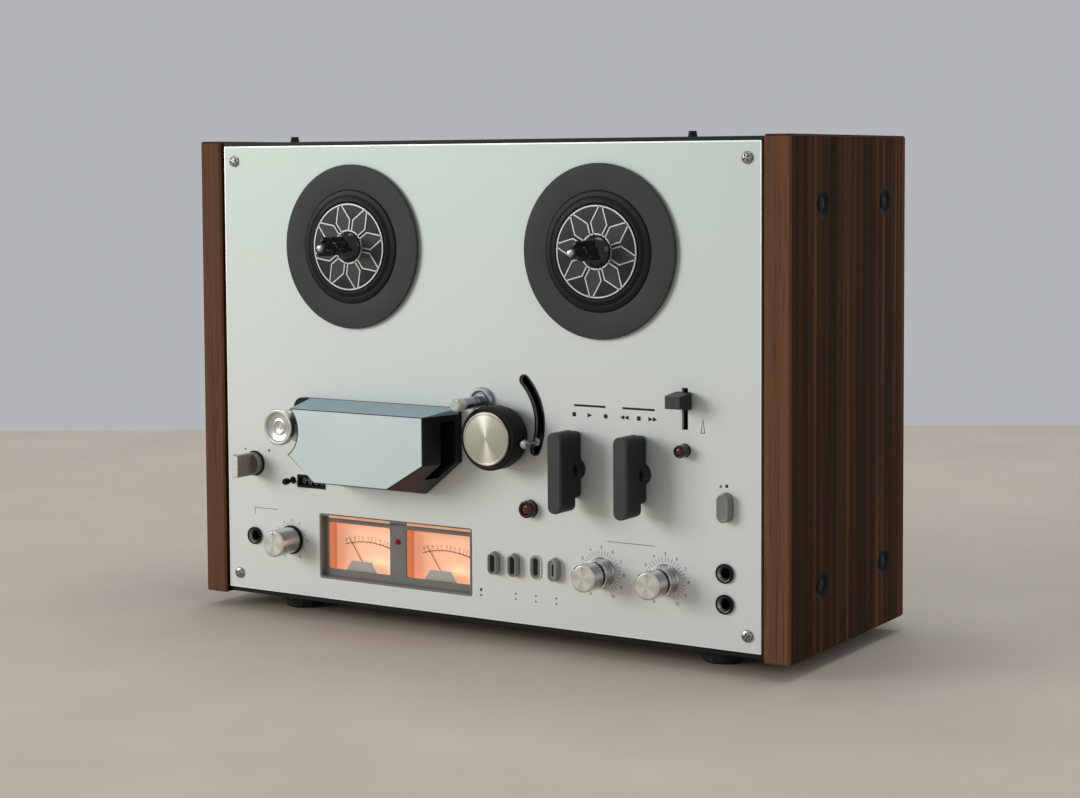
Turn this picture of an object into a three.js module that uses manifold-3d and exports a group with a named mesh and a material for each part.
// Upright reel-to-reel tape deck for 18 cm reels, in millimetres.
// Inside the assembly x runs right, y runs up from the lower edge of the wood sides and z runs
// out of the front panel, whose face is at z = 0. The last lines stand the deck up, +Z up.
import * as THREE from 'three';
import { mergeVertices } from 'three/addons/utils/BufferGeometryUtils.js';
import Module from 'manifold-3d';

const wasm = await Module();
wasm.setup();

// Clearances
const FIT = 0.3;
const OVERRUN = 2;
const MERGE_DISTANCE = 0.001;

// Cabinet
const CABINET_WIDTH = 440;
const WOOD_HEIGHT = 305.5;
const WOOD_DEPTH = 165;
const WOOD_THICKNESS = 17.4;
const WOOD_STEP = 2;
const WOOD_ROUNDING = 1.2;
const OVERALL_DEPTH = 232;
const CUP_RADIUS = 8.75;
const CUP_DEPTH = 2.6;
const CUP_FRONT_DISTANCE = 42.5;
const CUP_END_DISTANCE = 40.3;
const CUP_FLOOR_SHARE = 0.6;
const CUP_SPACING = 90;
const FOOT_HEIGHT = 9.5;
const FOOT_RADIUS = 15;
const FOOT_TAPER = 2;
const FOOT_ROUNDING = 1.5;
const FOOT_INSET = 60;
const FOOT_FRONT_DISTANCE = 30;
const FOOT_REAR_DISTANCE = 140;

// Chassis, top cover and back cover
const CHASSIS_BOTTOM = 1;
const CHASSIS_HEIGHT = 301;
const CHASSIS_WALL = 2;
const CHASSIS_PLATE = 3;
const CHASSIS_DEPTH = 148;
const TOP_COVER_THICKNESS = 2.2;
const TOP_COVER_DEPTH = 158;
const TOP_COVER_SETBACK = 0.5;
const STUD_INSET = 70.5;
const STUD_DISTANCE = 12;
const STUD_RADIUS = 3;
const STUD_TIP_RADIUS = 2.4;
const STUD_HEIGHT = 3.5;
const BACK_WALL = 2.5;
const BACK_DEPTH = 36;
const BACK_ROUNDING = 8;
const BACK_MARGIN = 0.5;
const VENT_COUNT = 9;
const VENT_PITCH = 14;
const VENT_WIDTH = 3;
const VENT_LENGTH = 58;
const VENT_LEVEL = 236;
const REAR_FOOT_RADIUS = 11;
const REAR_FOOT_INSET = 30;
const REAR_SOCKET_LEVEL = 34;
const REAR_SOCKET_PITCH = 20;
const REAR_SOCKET_RADIUS = 4.2;
const REAR_SOCKET_BORE = 1.7;
const REAR_SOCKET_LENGTH = 9;
const REAR_SOCKET_INSET = 110;
const REAR_SOCKET_COUNT = 4;
const INLET_WIDTH = 24;
const INLET_HEIGHT = 16;
const INLET_RIM = 2.5;
const INLET_DEPTH = 14;
const INLET_INSET = 80;

// Front panel
const PANEL_SIDE_GAP = 2.1;
const PANEL_WIDTH = CABINET_WIDTH - 2 * (WOOD_THICKNESS + PANEL_SIDE_GAP);
const PANEL_BOTTOM = 4.5;
const PANEL_TOP = 302;
const PANEL_THICKNESS = 2.5;
const PANEL_ROUNDING = 1;

// Places and widths across the panel, as shares of its width, counted from its middle
const ACROSS_SHARES = {
  reelSpacing: 0.46384,
  roller: -0.34514,
  coverRight: -0.0404,
  headRow: -0.16459,
  capstan: 0.01746,
  tension: 0.02868,
  leverLeft: 0.18803,
  leverRight: 0.30175,
  pause: 0.37556,
  start: 0.37506,
  rec: 0.10474,
  power: 0.44439,
  keys: 0.0404,
  selector: -0.44264,
  output: -0.36534,
  lineLevel: 0.23217,
  micLevel: 0.34214,
  phones: -0.44364,
  micSocket: 0.4419,
  meterLeft: -0.30723,
  meterWidth: 0.30299,
  windowWidth: 0.12643,
  windowSpacing: 0.15736,
  counterLeft: -0.35162,
  reset: -0.3616,
  motor: -0.21945,
};

// Reel tables
const REEL_SPACING = PANEL_WIDTH * ACROSS_SHARES.reelSpacing;
const REEL_LEVEL = 236.6;
const PLATTER_RADIUS = 53;
const PLATTER_LIFT = 1;
const PLATTER_THICKNESS = 2;
const PLATTER_ROUNDING = 0.8;
const RING_RADIUS = 36.5;
const RING_HEIGHT = 0.9;
const RING_STEP = 4;
const ROSETTE_RADIUS = 28;
const ROSETTE_THICKNESS = 0.6;
const ROSETTE_LINE = 0.9;
const ROSETTE_RELIEF = 0.4;
const ROSETTE_PETALS = 8;
const ROSETTE_GAP = 2.2;
const ROSETTE_SHOULDER_SHARE = 0.65;
const HUB_RADIUS = 10.7;
const HUB_HEIGHT = 5.2;
const DOME_RADIUS = 8.6;
const DOME_HEIGHT = 3.2;
const SPINDLE_RADIUS = 4;
const FIN_RADIUS = 7.2;
const FIN_WIDTH = 2.2;
const FIN_COUNT = 3;
const SPINDLE_LENGTH = 14;
const LOCK_CAP_LENGTH = 10;
const LOCK_CAP_TAPER = 3;
const PIN_RADIUS = 2;
const PIN_HEAD_RADIUS = 2.6;
const PIN_HEAD_HEIGHT = 2.4;
const PIN_DEPTH = 10;
const SPINDLE_TIP = 35.7;
const REEL_SHAFT_RADIUS = 4;
const REEL_SHAFT_LENGTH = 16;

// Guide roller
const ROLLER_X = PANEL_WIDTH * ACROSS_SHARES.roller;
const ROLLER_Y = 118.9;
const ROLLER_CAP_RADIUS = 12;
const ROLLER_BODY_RADIUS = 9.5;
const ROLLER_FLANGE = 2;
const ROLLER_CAP_THICKNESS = 3;
const ROLLER_DISH = 0.8;
const ROLLER_FRONT = 23.5;
const ROLLER_LIFT = 3.6;
const ROLLER_SHAFT_RADIUS = 3;

// Head cover, measured from the guide roller's axis line and the panel face
const COVER_FRONT = 31.5;
const COVER_BACK = 3.4;
const COVER_LEFT_OFFSET = 18.6;
const COVER_RIGHT = PANEL_WIDTH * ACROSS_SHARES.coverRight;
const COVER_BOTTOM = 86.2;
const COVER_RIGHT_CHAMFER = 27.2;
const COVER_LEFT_CHAMFER = 17.9;
const COVER_SIDE_FLARE = 7.6;
const COVER_TOP_FLARE = 3.6;
const COVER_BOTTOM_FLARE = 5.6;
const COVER_ARC_RADIUS = 19.2;
const COVER_ARC_SHIFT = 4.8;
const COVER_CREST_SHARE = 0.745;
const COVER_CUSP_SHARE = 0.84;
const COVER_WALL = 2;
const COVER_PLATE_THICKNESS = 0.8;
const COVER_PLATE_MARGIN = 0.6;
const TAPE_SLOT_BACK = 8;
const TAPE_SLOT_HEIGHT = 13;
const TAPE_SLOT_TOP = 126;
const TAPE_SLOT_LENGTH = 26;
const EXIT_SLOT_BACK = 6.4;
const EXIT_SLOT_FRONT = 18;
const EXIT_SLOT_TOP = 129;
const EXIT_SLOT_HEIGHT = 37;
const EXIT_SLOT_REACH = 24;
const HEAD_BASE_THICKNESS = 2.5;
const HEAD_WIDTH = 15;
const HEAD_DEPTH = 16;
const HEAD_HEIGHT = 17;
const HEAD_NOSE_RADIUS = 6;
const HEAD_PITCH = 25;
const HEAD_ROW_X = PANEL_WIDTH * ACROSS_SHARES.headRow;
const HEAD_ROW_Y = 121;
const TAPE_GUIDE_RADIUS = 3;
const TAPE_GUIDE_FLANGE = 1.4;
const TAPE_GUIDE_HEIGHT = 20;

// Capstan, its bearing and its flywheel
const CAPSTAN_X = PANEL_WIDTH * ACROSS_SHARES.capstan;
const CAPSTAN_Y = 141.8;
const SLEEVE_RADIUS = 3.5;
const CAPSTAN_FRONT = 31;
const TIP_NUT_RADIUS = 3.9;
const TIP_NUT_LENGTH = 8;
const BEARING_RADIUS = 7.5;
const BEARING_LIP = 1.2;
const BEARING_BUSH_RADIUS = 5;
const BEARING_BUSH_LENGTH = 3;
const BEARING_DISH = 0.8;
const FLYWHEEL_RADIUS = 42;
const FLYWHEEL_THICKNESS = 16;
const FLYWHEEL_SETBACK = 12;
const FLYWHEEL_WEB = 5;
const FLYWHEEL_RIM = 8;
const FLYWHEEL_HUB_RADIUS = 8;

// Pinch roller
const PINCH_RADIUS = 19.8;
const PINCH_GAP = 3.6;
const PINCH_BEARING = -49;
const PINCH_FRONT = 23.4;
const PINCH_BACK = 3.4;
const PINCH_RIDGE = 0.8;
const PINCH_CAP_RADIUS = 16.5;
const PINCH_CAP_THICKNESS = 1.6;
const PINCH_CAP_DISH = 0.7;
const PINCH_AXLE_RADIUS = 3;
const PINCH_ARM_LENGTH = 15;
const PINCH_ARM_WIDTH = 10;
const PINCH_ARM_THICKNESS = 2;
const PINCH_PIVOT_RADIUS = 3;

// Tension arm in its curved slot
const TENSION_X = PANEL_WIDTH * ACROSS_SHARES.tension;
const TENSION_Y = 129.5;
const TENSION_RADIUS = 38;
const TENSION_SLOT_WIDTH = 6.2;
const TENSION_SLOT_LOW = -24.8;
const TENSION_SLOT_HIGH = 45.3;
const TENSION_REST = -16;
const TENSION_STEM_RADIUS = 1.3;
const TENSION_BALL_RADIUS = 2.7;
const TENSION_POST_FRONT = 17.8;
const TENSION_ARM_WIDTH = 7;
const TENSION_ARM_THICKNESS = 2;
const TENSION_HUB_RADIUS = 5;
const TENSION_PIN_RADIUS = 2.5;

// Function and winding levers
const LEVER_LEFT_X = PANEL_WIDTH * ACROSS_SHARES.leverLeft;
const LEVER_RIGHT_X = PANEL_WIDTH * ACROSS_SHARES.leverRight;
const LEVER_Y = 104.3;
const LEVER_LENGTH = 49;
const LEVER_WIDTH = 9.3;
const LEVER_FRONT = 26;
const LEVER_ROUNDING = 4;
const LEVER_THICKNESS = 18;
const LEVER_KEEL_LENGTH = 41;
const LEVER_KEEL_RISE = 2.8;
const LEVER_KEEL_INSET = 0.6;
const LEVER_KEEL_LIFT = 1.5;
const LEVER_HUB_RADIUS = 7;
const LEVER_SHAFT_RADIUS = 4;
const SHAFT_DEPTH = 10;

// Pause slider
const PAUSE_SLOT_X = PANEL_WIDTH * ACROSS_SHARES.pause;
const PAUSE_SLOT_TOP = 157.3;
const PAUSE_SLOT_WIDTH = 4;
const PAUSE_SLOT_HEIGHT = 24.8;
const PAUSE_Y = 149.9;
const PAUSE_KNOB_WIDTH = 10.7;
const PAUSE_KNOB_HEIGHT = 7.4;
const PAUSE_KNOB_BASE = 10.7;
const PAUSE_KNOB_LIFT = 1;
const PAUSE_KNOB_ROUNDING = 1.2;
const PAUSE_FRONT = 15.5;
const PAUSE_STEM_WIDTH = 3;
const PAUSE_STEM_HEIGHT = 5;
const PAUSE_SLIDER_WIDTH = 12;
const PAUSE_SLIDER_HEIGHT = 18;
const PAUSE_SLIDER_THICKNESS = 2;

// Buttons
const START_X = PANEL_WIDTH * ACROSS_SHARES.start;
const START_Y = 120.3;
const START_RADIUS = 3.8;
const START_HEIGHT = 7;
const REC_X = PANEL_WIDTH * ACROSS_SHARES.rec;
const REC_Y = 77;
const REC_RADIUS = 5.3;
const REC_HEIGHT = 5;
const LENS_SHARE = 0.45;
const LENS_HEIGHT = 0.8;
const BUTTON_LIP = 0.8;
const BUTTON_DEPTH = 8;
const POWER_X = PANEL_WIDTH * ACROSS_SHARES.power;
const POWER_Y = 88.8;
const POWER_WIDTH = 8;
const POWER_LENGTH = 17;
const POWER_HEIGHT = 6;
const KEY_X = PANEL_WIDTH * ACROSS_SHARES.keys;
const KEY_Y = 41;
const KEY_PITCH = 14.8;
const KEY_COUNT = 4;
const KEY_PRESSED = 3;
const KEY_WIDTH = 6.8;
const KEY_LENGTH = 14;
const KEY_HEIGHT = 5;
const KEY_PRESSED_HEIGHT = 1;
const KEY_GROOVE = 0.5;
const KEY_RIM = 0.6;
const KEY_RIM_HEIGHT = 0.8;

// Knobs
const SELECTOR_X = PANEL_WIDTH * ACROSS_SHARES.selector;
const SELECTOR_Y = 90;
const SELECTOR_RADIUS = 7.5;
const SELECTOR_BASE = 5;
const SELECTOR_BAR_WIDTH = 5.4;
const SELECTOR_FRONT = 21;
const OUTPUT_X = PANEL_WIDTH * ACROSS_SHARES.output;
const OUTPUT_Y = 41;
const OUTPUT_RADIUS = 8.8;
const OUTPUT_FRONT = 20;
const OUTPUT_COLLAR_RADIUS = 9.6;
const OUTPUT_COLLAR_HEIGHT = 2;
const LINE_LEVEL_X = PANEL_WIDTH * ACROSS_SHARES.lineLevel;
const MIC_LEVEL_X = PANEL_WIDTH * ACROSS_SHARES.micLevel;
const LEVEL_Y = 42;
const LEVEL_FRONT_RADIUS = 8.4;
const LEVEL_FRONT = 22.8;
const LEVEL_REAR_RADIUS = 9.1;
const LEVEL_REAR_HEIGHT = 10;
const LEVEL_SPLIT = 1.2;
const LEVEL_FLANGE_RADIUS = 9.6;
const LEVEL_FLANGE = 1.2;
const LEVEL_INNER_SHAFT_RADIUS = 2.5;
const LEVEL_OUTER_SHAFT_RADIUS = 4.5;
const KNOB_CHAMFER = 0.7;
const KNOB_POINTER_WIDTH = 0.8;
const KNOB_POINTER_DEPTH = 0.4;
const KNOB_SHAFT_RADIUS = 3;

// Sockets
const PHONES_X = PANEL_WIDTH * ACROSS_SHARES.phones;
const PHONES_Y = 41.1;
const MIC_SOCKET_X = PANEL_WIDTH * ACROSS_SHARES.micSocket;
const MIC_SOCKET_HIGH_Y = 49.8;
const MIC_SOCKET_LOW_Y = 31.6;
const SOCKET_RADIUS = 5.8;
const SOCKET_BORE = 3.4;
const SOCKET_BEVEL = 1.2;
const SOCKET_HEIGHT = 2;
const SOCKET_BARREL_RADIUS = 4.8;
const SOCKET_DEPTH = 16;
const SOCKET_FLOOR = 1.5;

// Level meters
const METER_LEFT = PANEL_WIDTH * ACROSS_SHARES.meterLeft;
const METER_BOTTOM = 17.7;
const METER_WIDTH = PANEL_WIDTH * ACROSS_SHARES.meterWidth;
const METER_HEIGHT = 43;
const METER_RECESS = 4;
const METER_FRAME = 1.2;
const METER_FLOOR = 1.6;
const METER_ROUNDING = 1.5;
const WINDOW_WIDTH = PANEL_WIDTH * ACROSS_SHARES.windowWidth;
const WINDOW_HEIGHT = 30.9;
const WINDOW_SPACING = PANEL_WIDTH * ACROSS_SHARES.windowSpacing;
const CASE_DEPTH = 26;
const CASE_CAVITY = 8;
const CASE_MARGIN = 1.5;
const LAMP_RADIUS = 1.6;
const SHIELD_WIDTH = 25;
const SHIELD_HEIGHT = 6;
const SHIELD_SLOPE = 4;
const SHIELD_THICKNESS = 0.8;
const SHIELD_SETBACK = 1.1;
const NEEDLE_DROP = 1.05;
const NEEDLE_LENGTH = 26;
const NEEDLE_WIDTH = 0.7;
const NEEDLE_THICKNESS = 0.5;
const NEEDLE_HUB_RADIUS = 2;
const NEEDLE_PIN_RADIUS = 0.9;
const NEEDLE_REST = 34.7;

// Tape counter
const COUNTER_LEFT = PANEL_WIDTH * ACROSS_SHARES.counterLeft;
const COUNTER_BOTTOM = 76.8;
const COUNTER_HEIGHT = 8;
const WHEEL_PITCH = 5;
const WHEEL_COUNT = 4;
const WHEEL_RADIUS = 6;
const WHEEL_GROOVE = 0.5;
const WHEEL_SETBACK = 1.8;
const COUNTER_BEZEL = 1.5;
const COUNTER_BEZEL_HEIGHT = 0.6;
const COUNTER_AXLE_RADIUS = 1.5;
const RESET_X = PANEL_WIDTH * ACROSS_SHARES.reset;
const RESET_Y = 80.8;
const RESET_RADIUS = 2.2;
const RESET_FRONT = 9.5;

// Drive
const MOTOR_X = PANEL_WIDTH * ACROSS_SHARES.motor;
const MOTOR_Y = 128;
const MOTOR_RADIUS = 30;
const MOTOR_LENGTH = 62;
const MOTOR_POST_RADIUS = 3.5;
const MOTOR_POST_INSET = 4.5;
const MOTOR_POST_TURNS = [180, 100, -100];
const PULLEY_RADIUS = 9;
const PULLEY_FLANGE = 1.5;
const PULLEY_SHAFT_RADIUS = 2;
const PULLEY_SHAFT_LENGTH = 8;
const BELT_WIDTH = 6;
const BELT_THICKNESS = 1.2;

// Facets round a circle
const FINE = 32;
const MEDIUM = 18;
const COARSE = 12;
const SMALL = 8;
const BELT_ARC = 10;
const SLOT_ARC = 4;

// Places that follow from the sizes above
const PLATE_FRONT = -PANEL_THICKNESS - FIT;
const PLATE_BACK = PLATE_FRONT - CHASSIS_PLATE;
const BEHIND_PLATE = PLATE_BACK - FIT;
const CHASSIS_BACK = PLATE_FRONT - CHASSIS_DEPTH;
const CHASSIS_TOP = CHASSIS_BOTTOM + CHASSIS_HEIGHT;
const INNER_WIDTH = CABINET_WIDTH - 2 * WOOD_THICKNESS - 2 * FIT;
const REAR = SPINDLE_TIP - OVERALL_DEPTH;

const degrees = THREE.MathUtils.degToRad;

// Materials
function material(color, roughness, metalness) {
  return new THREE.MeshStandardMaterial({ color, roughness, metalness });
}

const satinSilver = material(0xc9cbc4, 0.35, 0.9);
const darkWood = material(0x2c1a12, 0.45, 0);
const blackSteel = material(0x1b1c1d, 0.5, 0.6);
const blackPlastic = material(0x17181a, 0.55, 0);
const glossBlack = material(0x101214, 0.15, 0);
const darkRubber = material(0x1e1d1c, 0.85, 0);
const platterGrey = material(0x46484a, 0.4, 0.7);
const brightMetal = material(0xbfbfb8, 0.25, 1);
const steel = material(0x9a9c9c, 0.3, 1);
const paddleGrey = material(0x46484a, 0.35, 0.3);
const buttonGrey = material(0x969694, 0.45, 0.2);
const redLens = material(0x8c2018, 0.2, 0);
const dialPeach = material(0xffb48c, 0.5, 0);

// Shapes and solids
function solid(geometry) {
  const bare = geometry.clone();
  bare.deleteAttribute('normal');
  bare.deleteAttribute('uv');
  const merged = mergeVertices(bare, MERGE_DISTANCE);
  const corners = merged.index.array;
  const kept = [];
  for (let i = 0; i < corners.length; i += 3) {
    const [a, b, c] = corners.slice(i, i + 3);
    if (a !== b && b !== c && c !== a) kept.push(a, b, c);
  }
  return new wasm.Manifold(new wasm.Mesh({
    numProp: 3,
    vertProperties: new Float32Array(merged.attributes.position.array),
    triVerts: new Uint32Array(kept),
  }));
}

function asSolid(body) {
  return body.isBufferGeometry ? solid(body) : body;
}

function cut(body, ...tools) {
  return tools.reduce((rest, tool) => rest.subtract(asSolid(tool)), asSolid(body));
}

function joined(body, ...others) {
  return others.reduce((whole, other) => whole.add(asSolid(other)), asSolid(body));
}

function shared(body, other) {
  return asSolid(body).intersect(asSolid(other));
}

// A revolved body from [radius, z] points listed from back to front
function turned(profile, segments, x = 0, y = 0) {
  const points = profile.map(([radius, z]) => new THREE.Vector2(radius, z));
  const geometry = new THREE.LatheGeometry(points, segments);
  geometry.rotateX(Math.PI / 2);
  return geometry.translate(x, y, 0);
}

function rod(radius, back, front, segments = COARSE, x = 0, y = 0) {
  return turned([[0, back], [radius, back], [radius, front], [0, front]], segments, x, y);
}

function block(left, right, bottom, top, back, front) {
  const geometry = new THREE.BoxGeometry(right - left, top - bottom, front - back);
  return geometry.translate((left + right) / 2, (bottom + top) / 2, (back + front) / 2);
}

function extruded(shape, back, front, x = 0, y = 0, curveSegments = 2) {
  const options = { depth: front - back, bevelEnabled: false, curveSegments };
  return new THREE.ExtrudeGeometry(shape, options).translate(x, y, back);
}

// An extrusion whose front and back edges are rounded, inside the same outline
function rounded(shape, back, front, edge, x = 0, y = 0, curveSegments = 2) {
  const options = {
    depth: front - back - 2 * edge,
    bevelThickness: edge,
    bevelSize: edge,
    bevelOffset: -edge,
    bevelSegments: 1,
    curveSegments,
  };
  return new THREE.ExtrudeGeometry(shape, options).translate(x, y, back + edge);
}

function rectangle(width, height, radius) {
  const x = width / 2;
  const y = height / 2;
  const shape = new THREE.Shape();
  shape.absarc(x - radius, y - radius, radius, 0, Math.PI / 2);
  shape.absarc(radius - x, y - radius, radius, Math.PI / 2, Math.PI);
  shape.absarc(radius - x, radius - y, radius, Math.PI, 1.5 * Math.PI);
  shape.absarc(x - radius, radius - y, radius, 1.5 * Math.PI, 2 * Math.PI);
  return shape;
}

function polygon(points) {
  return new THREE.Shape(points.map(([x, y]) => new THREE.Vector2(x, y)));
}

// The assembly, and the way a finished solid becomes a named mesh in it
const deck = new THREE.Group();

function piece(name, body, look, x = 0, y = 0, z = 0) {
  const { numProp, vertProperties, triVerts } = asSolid(body).getMesh();
  const geometry = new THREE.BufferGeometry();
  geometry.setAttribute('position', new THREE.BufferAttribute(vertProperties, numProp));
  geometry.setIndex(new THREE.BufferAttribute(triVerts, 1));
  const flat = geometry.toNonIndexed();
  flat.computeVertexNormals();
  const mesh = new THREE.Mesh(flat, look);
  mesh.name = name;
  mesh.position.set(x, y, z);
  deck.add(mesh);
  return mesh;
}

// Wood sides, each with four dished cups for its screws
function woodSide(side) {
  const outline = rectangle(WOOD_DEPTH, WOOD_HEIGHT, WOOD_ROUNDING);
  const half = WOOD_THICKNESS / 2;
  const board = rounded(outline, -half, half, WOOD_ROUNDING, 0, 0, 1);
  const cups = [];
  for (const along of [CUP_FRONT_DISTANCE, CUP_FRONT_DISTANCE + CUP_SPACING]) {
    for (const end of [-1, 1]) {
      const x = side * (along - WOOD_DEPTH / 2);
      const y = end * (WOOD_HEIGHT / 2 - CUP_END_DISTANCE);
      const profile = [
        [0, half - CUP_DEPTH],
        [CUP_RADIUS * CUP_FLOOR_SHARE, half - CUP_DEPTH],
        [CUP_RADIUS, half],
        [CUP_RADIUS, half + OVERRUN],
        [0, half + OVERRUN],
      ];
      cups.push(turned(profile, COARSE, x, y));
    }
  }
  return cut(board, ...cups);
}

for (const [name, side] of [['side_panel_left', -1], ['side_panel_right', 1]]) {
  const x = side * (CABINET_WIDTH - WOOD_THICKNESS) / 2;
  const board = piece(name, woodSide(side), darkWood, x, WOOD_HEIGHT / 2, WOOD_STEP - WOOD_DEPTH / 2);
  board.rotation.y = side * Math.PI / 2;
}

// Rubber feet under the chassis
function foot() {
  const top = FOOT_HEIGHT + CHASSIS_BOTTOM - FIT;
  const tip = FOOT_RADIUS - FOOT_TAPER;
  return turned([
    [0, 0],
    [tip - FOOT_ROUNDING, 0],
    [tip, FOOT_ROUNDING],
    [FOOT_RADIUS, top],
    [0, top],
  ], COARSE).rotateX(-Math.PI / 2);
}

for (const [row, distance] of [['front', FOOT_FRONT_DISTANCE], ['rear', FOOT_REAR_DISTANCE]]) {
  for (const [side, sign] of [['left', -1], ['right', 1]]) {
    const x = sign * (CABINET_WIDTH / 2 - FOOT_INSET);
    piece(`foot_${row}_${side}`, foot(), darkRubber, x, -FOOT_HEIGHT, -distance);
  }
}

// Top cover with its two tapered studs
function topCover() {
  const half = INNER_WIDTH / 2;
  const bottom = CHASSIS_TOP + FIT;
  const top = bottom + TOP_COVER_THICKNESS;
  const plate = block(-half, half, bottom, top, -TOP_COVER_DEPTH, -TOP_COVER_SETBACK);
  const studs = [-1, 1].map((side) => {
    const root = (bottom + top) / 2;
    const profile = [[0, root], [STUD_RADIUS, root], [STUD_RADIUS, top],
      [STUD_TIP_RADIUS, top + STUD_HEIGHT], [0, top + STUD_HEIGHT]];
    const x = side * (CABINET_WIDTH / 2 - STUD_INSET);
    return turned(profile, SMALL).rotateX(-Math.PI / 2).translate(x, 0, -STUD_DISTANCE);
  });
  return joined(plate, ...studs);
}

piece('top_cover', topCover(), blackSteel);

// Openings cut through the front panel and the chassis plate behind it
const THROUGH_BACK = PLATE_BACK - OVERRUN;

// A hole whose flats clear the shaft in it, however few they are
function roundHole(radius, x, y, sides) {
  return rod((radius + FIT) / Math.cos(Math.PI / sides), THROUGH_BACK, OVERRUN, sides, x, y);
}

function shapedHole(shape, x, y) {
  return extruded(shape, THROUGH_BACK, OVERRUN, x, y);
}

function squareHole(width, height, x, y) {
  return block(x - width / 2, x + width / 2, y - height / 2, y + height / 2, THROUGH_BACK, OVERRUN);
}

// The curved slot of the tension arm, as a band about the arm's pivot
function slotShape(radius, width, low, high) {
  const inner = radius - width / 2;
  const outer = radius + width / 2;
  const shape = new THREE.Shape();
  const end = (angle) => [radius * Math.cos(degrees(angle)), radius * Math.sin(degrees(angle))];
  shape.absarc(0, 0, outer, degrees(low), degrees(high), false);
  shape.absarc(...end(high), width / 2, degrees(high), degrees(high + 180), false);
  shape.absarc(0, 0, inner, degrees(high), degrees(low), true);
  shape.absarc(...end(low), width / 2, degrees(low + 180), degrees(low + 360), false);
  return shape;
}

const keyPlaces = Array.from({ length: KEY_COUNT }, (_, index) => KEY_X + KEY_PITCH * index);
const keyHole = rectangle(KEY_WIDTH + 2 * FIT, KEY_LENGTH + 2 * FIT, KEY_WIDTH / 2 + FIT);
const counterWidth = WHEEL_PITCH * WHEEL_COUNT + 2 * COUNTER_BEZEL;
const counterX = COUNTER_LEFT + counterWidth / 2;
const counterY = COUNTER_BOTTOM + COUNTER_HEIGHT / 2;
const counterRoom = WHEEL_RADIUS + FIT + COUNTER_BEZEL;
const meterX = METER_LEFT + METER_WIDTH / 2;
const meterY = METER_BOTTOM + METER_HEIGHT / 2;
const pauseSlotY = PAUSE_SLOT_TOP - PAUSE_SLOT_HEIGHT / 2;

// The pinch roller's centre lies on the line of its bearing from the capstan, its gap away
const pinchReach = SLEEVE_RADIUS + PINCH_GAP + PINCH_RADIUS;
const pinchX = CAPSTAN_X + pinchReach * Math.cos(degrees(PINCH_BEARING));
const pinchY = CAPSTAN_Y + pinchReach * Math.sin(degrees(PINCH_BEARING));
const pivotX = pinchX + PINCH_ARM_LENGTH * Math.cos(degrees(PINCH_BEARING - 90));
const pivotY = pinchY + PINCH_ARM_LENGTH * Math.sin(degrees(PINCH_BEARING - 90));

function panelOpenings() {
  const levelShaft = LEVEL_OUTER_SHAFT_RADIUS;
  const covered = [
    [REEL_SHAFT_RADIUS, -REEL_SPACING / 2, REEL_LEVEL],
    [REEL_SHAFT_RADIUS, REEL_SPACING / 2, REEL_LEVEL],
    [ROLLER_SHAFT_RADIUS, ROLLER_X, ROLLER_Y],
    [BEARING_RADIUS, CAPSTAN_X, CAPSTAN_Y],
    [PINCH_PIVOT_RADIUS, pivotX, pivotY],
    [LEVER_SHAFT_RADIUS, LEVER_LEFT_X, LEVER_Y],
    [LEVER_SHAFT_RADIUS, LEVER_RIGHT_X, LEVER_Y],
    [KNOB_SHAFT_RADIUS, SELECTOR_X, SELECTOR_Y],
    [KNOB_SHAFT_RADIUS, OUTPUT_X, OUTPUT_Y],
    [levelShaft, LINE_LEVEL_X, LEVEL_Y],
    [levelShaft, MIC_LEVEL_X, LEVEL_Y],
    [SOCKET_BARREL_RADIUS, PHONES_X, PHONES_Y],
    [SOCKET_BARREL_RADIUS, MIC_SOCKET_X, MIC_SOCKET_HIGH_Y],
    [SOCKET_BARREL_RADIUS, MIC_SOCKET_X, MIC_SOCKET_LOW_Y],
  ].map(([radius, x, y]) => roundHole(radius, x, y, SMALL));
  const seen = [
    [START_RADIUS, START_X, START_Y],
    [REC_RADIUS, REC_X, REC_Y],
    [RESET_RADIUS, RESET_X, RESET_Y],
  ].map(([radius, x, y]) => roundHole(radius, x, y, COARSE));
  const power = rectangle(POWER_WIDTH + 2 * FIT, POWER_LENGTH + 2 * FIT, POWER_WIDTH / 2 + FIT);
  const slot = slotShape(TENSION_RADIUS, TENSION_SLOT_WIDTH, TENSION_SLOT_LOW, TENSION_SLOT_HIGH);
  const meters = rectangle(METER_WIDTH, METER_HEIGHT, METER_ROUNDING);
  return [
    ...covered,
    ...seen,
    ...keyPlaces.map((x) => shapedHole(keyHole, x, KEY_Y)),
    shapedHole(power, POWER_X, POWER_Y),
    squareHole(PAUSE_SLOT_WIDTH, PAUSE_SLOT_HEIGHT, PAUSE_SLOT_X, pauseSlotY),
    extruded(slot, THROUGH_BACK, OVERRUN, TENSION_X, TENSION_Y, SLOT_ARC),
    extruded(meters, THROUGH_BACK, OVERRUN, meterX, meterY, 1),
  ];
}

function counterOpening(height) {
  return squareHole(counterWidth + 2 * FIT, height + 2 * FIT, counterX, counterY);
}

// Front panel, with the raised rims round the push buttons
function frontPanel() {
  const height = PANEL_TOP - PANEL_BOTTOM;
  const sheet = rectangle(PANEL_WIDTH, height, PANEL_ROUNDING);
  const plate = extruded(sheet, -PANEL_THICKNESS, 0, 0, PANEL_BOTTOM + height / 2, 1);
  const grow = 2 * (FIT + KEY_RIM);
  const rim = rectangle(KEY_WIDTH + grow, KEY_LENGTH + grow, (KEY_WIDTH + grow) / 2);
  const rims = keyPlaces.map((x) => extruded(rim, -PANEL_THICKNESS / 2, KEY_RIM_HEIGHT, x, KEY_Y));
  return cut(joined(plate, ...rims), ...panelOpenings(), counterOpening(COUNTER_HEIGHT));
}

piece('front_panel', frontPanel(), satinSilver);

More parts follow.
